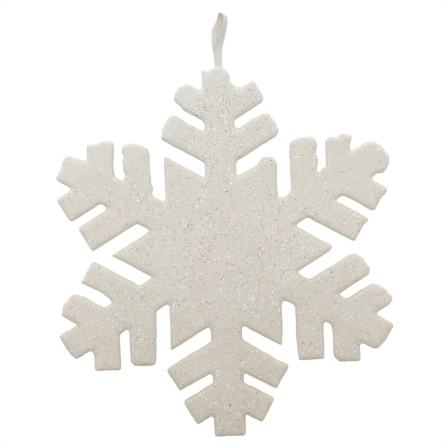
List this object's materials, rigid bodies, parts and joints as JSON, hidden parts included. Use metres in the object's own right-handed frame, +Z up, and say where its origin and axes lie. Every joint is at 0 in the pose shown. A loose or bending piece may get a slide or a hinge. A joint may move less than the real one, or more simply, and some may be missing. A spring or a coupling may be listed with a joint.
{
  "type": "hanging snowflake decoration",
  "caption": "Thick foam snowflake star with branching arms, a glittered glue coat on each face and a folded satin ribbon loop glued into the top arm for hanging.",
  "frame": {"origin": "the point under the top of the ribbon loop where a hook bears, straight above the flake's centre", "axes": "+Z up as it hangs, -Y out of the flake's front face, +X to the right as seen from the front"},
  "size_m": [0.2752, 0.0147, 0.3446],
  "materials": {
    "foam": "matte",
    "glue_coat": "satin",
    "glitter": "gloss",
    "hot_glue": "satin",
    "ribbon": "satin"
  },
  "bodies": {
    "ribbon_loop": {"ribbon_loop": "ribbon"},
    "ribbon_neck": {"ribbon_neck": "ribbon"},
    "flake": {"foam_snowflake": "foam", "front_glue_coat": "glue_coat", "back_glue_coat": "glue_coat", "front_glitter": "glitter", "back_glitter": "glitter", "hot_glue_plug": "hot_glue", "ribbon_tails": "ribbon"}
  },
  "joints": [
    {"name": "ribbon_twist", "type": "hinge", "parent": "ribbon_loop", "child": "ribbon_neck", "pos_m": [-0.00431, 0, -0.0343], "axis": [0, 0, 1], "range_deg": [-180, 180]},
    {"name": "ribbon_bend", "type": "hinge", "parent": "ribbon_neck", "child": "flake", "pos_m": [-0.00431, 0, -0.04216], "axis": [1, 0, 0], "range_deg": [-80, 80]}
  ]
}
